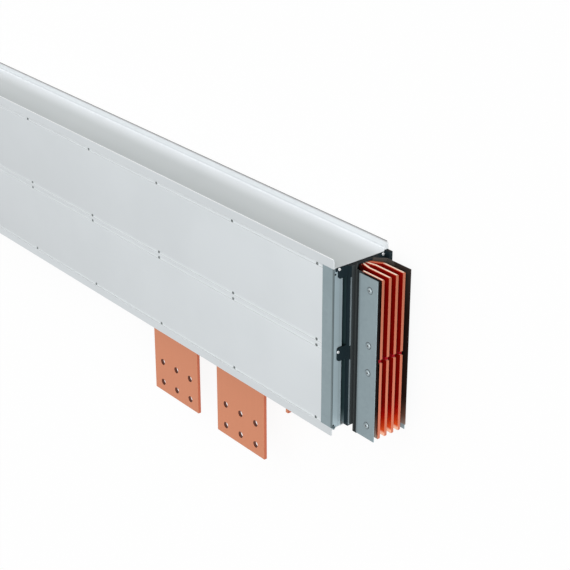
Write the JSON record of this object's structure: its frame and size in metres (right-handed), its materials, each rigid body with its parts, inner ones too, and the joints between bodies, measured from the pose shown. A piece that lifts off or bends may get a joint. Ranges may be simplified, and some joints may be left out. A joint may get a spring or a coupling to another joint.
{
  "type": "busway section",
  "caption": "Straight busbar trunking section with a flared copper joint end, two bolted connection lugs below and channel-shaped covers.",
  "frame": {"origin": "middle of the housing's length on the outer face of the back panel, at mid-height of the panel", "axes": "+X along the run towards the joint end, +Y up the height of the run as hung (lugs point to -Y), +Z out of the front panel, up as it lies"},
  "size_m": [1.59, 0.559, 0.131],
  "materials": {
    "white_paint": "pale grey-white powder coat, satin",
    "galvanised_sheet": "galvanised steel sheet, dull blue-grey",
    "black_moulding": "black moulded plastic",
    "black_sheet": "black insulating sheet, slightly glossy",
    "insulating_board": "dark insulating board",
    "copper": "bare copper, satin"
  },
  "bodies": {
    "root": {"top_cover": "white_paint", "bottom_cover": "white_paint", "front_panel": "white_paint", "back_panel": "white_paint", "end_cap": "white_paint", "front_collar": "galvanised_sheet", "back_collar": "galvanised_sheet", "front_clamp_plate": "galvanised_sheet", "back_clamp_plate": "galvanised_sheet", "front_joint_plate": "galvanised_sheet", "back_joint_plate": "galvanised_sheet", "end_shield": "black_moulding", "front_joint_sheet": "black_sheet", "back_joint_sheet": "black_sheet", "bar_spacer": "insulating_board", "busbar_1_upper": "copper", "busbar_1_lower": "copper", "busbar_2_upper": "copper", "busbar_2_lower": "copper", "busbar_3_upper": "copper", "busbar_3_lower": "copper", "busbar_4_upper": "copper", "busbar_4_lower": "copper", "lug_1": "copper", "lug_2": "copper", "earth_terminal": "copper"}
  },
  "joints": []
}
